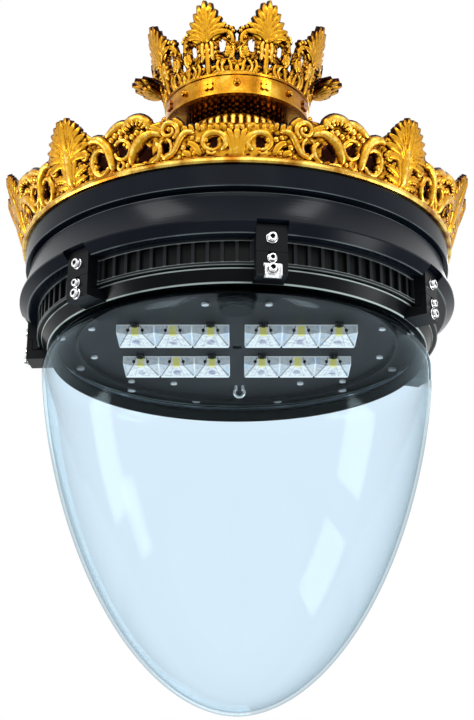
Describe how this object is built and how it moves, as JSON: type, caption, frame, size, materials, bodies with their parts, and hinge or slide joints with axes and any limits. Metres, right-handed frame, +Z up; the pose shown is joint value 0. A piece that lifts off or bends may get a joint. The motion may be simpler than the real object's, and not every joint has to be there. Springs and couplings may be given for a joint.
{
  "type": "pendant outdoor lantern",
  "caption": "Pendant outdoor lantern: round black housing with gilded openwork crowns, lens modules on a light plate and a clear bowl in a frame that swings down.",
  "frame": {"origin": "centre of the pipe socket's mouth, from which the lantern hangs", "axes": "+Z up along the pipe, -Y to the front of the lantern, +X to its right as seen from the front"},
  "size_m": [0.5774, 0.5322, 0.8464],
  "materials": {
    "gilded_casting": "gilded cast aluminium, satin with dark recesses",
    "gilded_jewel": "gilded, polished",
    "black_casting": "powder-coated cast aluminium, semi-gloss black",
    "stainless": "stainless steel, bright",
    "polished_steel": "polished stainless steel",
    "spring_steel": "zinc-plated spring steel",
    "seal_rubber": "matt silicone rubber",
    "black_plate": "satin black coated sheet",
    "black_plastic": "black moulded nylon",
    "clear_bowl": "clear acrylic, glossy",
    "clear_lens": "clear moulded polycarbonate",
    "board_white": "white solder mask",
    "chip_phosphor": "yellow phosphor",
    "driver_case": "extruded aluminium, satin",
    "surge_case": "moulded plastic",
    "terminal_body": "moulded polyamide",
    "earth_brass": "turned brass"
  },
  "bodies": {
    "housing": {"pipe_socket": "black_casting", "set_screws": "stainless", "flange_bolts": "stainless", "cable_gland": "black_plastic", "small_crown_band": "gilded_casting", "small_crown_leaves": "gilded_casting", "small_crown_jewels": "gilded_jewel", "neck_collar": "gilded_casting", "roof": "black_casting", "roof_seal": "seal_rubber", "roof_screws": "stainless", "crown_foot": "gilded_casting", "crown_gallery": "gilded_casting", "crown_screws": "stainless", "skirt": "black_casting", "skirt_screws": "stainless", "finned_band": "black_casting", "clamp_lugs": "black_casting", "lug_bolts": "stainless", "clamp_screws": "stainless", "hinge_fixed_leaf": "black_casting", "hinge_bolts": "stainless", "hinge_pin": "stainless", "gear_tray": "black_plate", "tray_screws": "stainless", "light_plate": "black_plate", "plate_screws": "stainless", "led_boards": "board_white", "led_chips": "chip_phosphor", "lens_front_left": "clear_lens", "lens_front_right": "clear_lens", "lens_rear_left": "clear_lens", "lens_rear_right": "clear_lens", "lens_screws": "stainless", "sensor_head": "black_plastic", "sensor_nut": "black_plastic", "safety_hook": "polished_steel", "hook_nuts": "stainless", "driver": "driver_case", "driver_feet": "driver_case", "driver_screws": "stainless", "surge_protector": "surge_case", "terminal_block": "terminal_body", "earth_stud": "earth_brass"},
    "globe_frame": {"globe_ring": "black_casting", "globe_seat_seal": "seal_rubber", "frame_seal": "seal_rubber", "globe_snap_ring": "spring_steel", "globe": "clear_bowl", "ring_straps": "black_casting", "strap_bolts": "stainless", "lock_tab": "stainless", "hinge_moving_leaf": "black_casting"}
  },
  "joints": [
    {"name": "frame_hinge", "type": "hinge", "parent": "housing", "child": "globe_frame", "pos_m": [-0.01357, 0.24262, -0.384], "axis": [0.9984, 0.0558, 0], "range_deg": [0, 85]}
  ]
}
